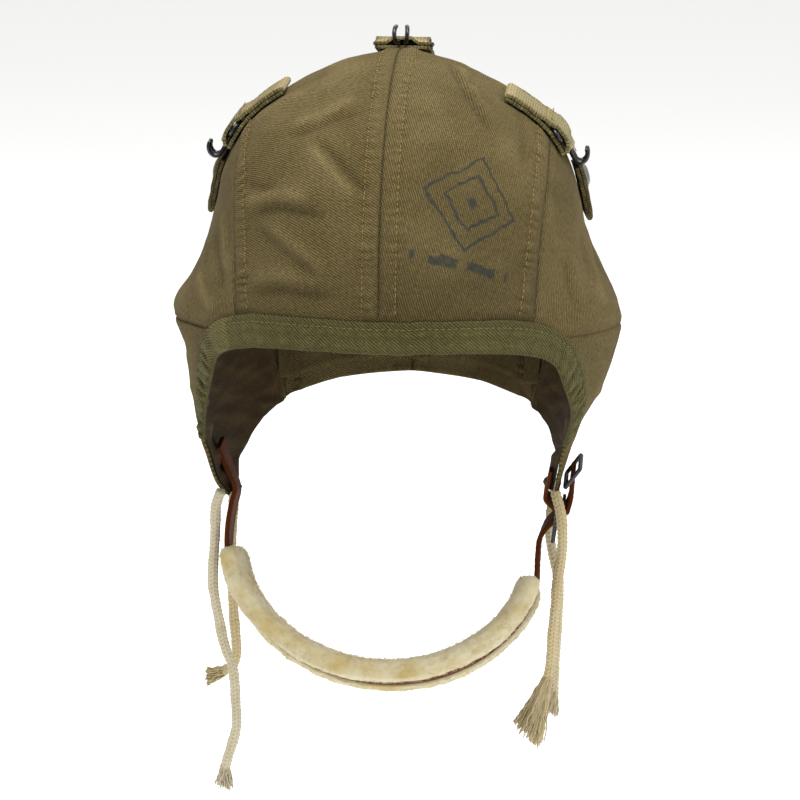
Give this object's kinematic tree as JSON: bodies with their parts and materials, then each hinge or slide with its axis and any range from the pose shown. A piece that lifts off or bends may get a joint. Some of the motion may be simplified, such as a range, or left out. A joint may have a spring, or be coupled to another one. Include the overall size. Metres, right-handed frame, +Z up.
{
  "type": "flying helmet",
  "caption": "Cotton twill flying helmet with hanging ear flaps, webbing hook tabs, wire hooks, a leather chin strap with a fleece pad and loose cotton cords.",
  "frame": {"origin": "where the top of a head touches the inside of the crown, at the highest point inside", "axes": "+Z up out of the crown, the face looks along -Y, +X to the right of a view from the front"},
  "size_m": [0.2073, 0.2003, 0.3717],
  "materials": {
    "twill": "worn khaki cotton twill, creased and lightly soiled",
    "tape": "dark olive cotton twill tape",
    "lining": "brown cotton lining, gathered",
    "webbing": "coarse olive cotton webbing",
    "enamel": "black enamelled steel, worn bright on the edges",
    "snap_paint": "grey-green painted brass",
    "leather": "red-brown strap leather, rubbed",
    "wool": "short cream lambswool pile",
    "cotton": "off-white cotton cord with frayed ends"
  },
  "bodies": {
    "root": {"crown_panel_left": "twill", "crown_panel_right": "twill", "side_panel_left": "twill", "side_panel_right": "twill", "ear_flap_left": "twill", "ear_flap_right": "twill", "ear_lining_left": "lining", "ear_lining_right": "lining", "face_binding": "tape", "hook_tab_left": "webbing", "hook_tab_right": "webbing", "hook_tab_top": "webbing", "wire_hook_left": "enamel", "wire_hook_right": "enamel", "wire_hook_top": "enamel", "snap_tab_left": "webbing", "snap_tab_right": "webbing", "snap_cap_left": "snap_paint", "snap_cap_right": "snap_paint", "chin_strap": "leather", "chin_fleece": "wool", "strap_loop": "enamel", "strap_slide": "enamel", "buckle_chape": "leather", "cord_left_front": "cotton", "cord_left_back": "cotton", "cord_right_front": "cotton", "cord_right_back": "cotton", "frayed_end_left_front": "cotton", "frayed_end_left_back": "cotton", "frayed_end_right_front": "cotton", "frayed_end_right_back": "cotton"}
  },
  "joints": []
}
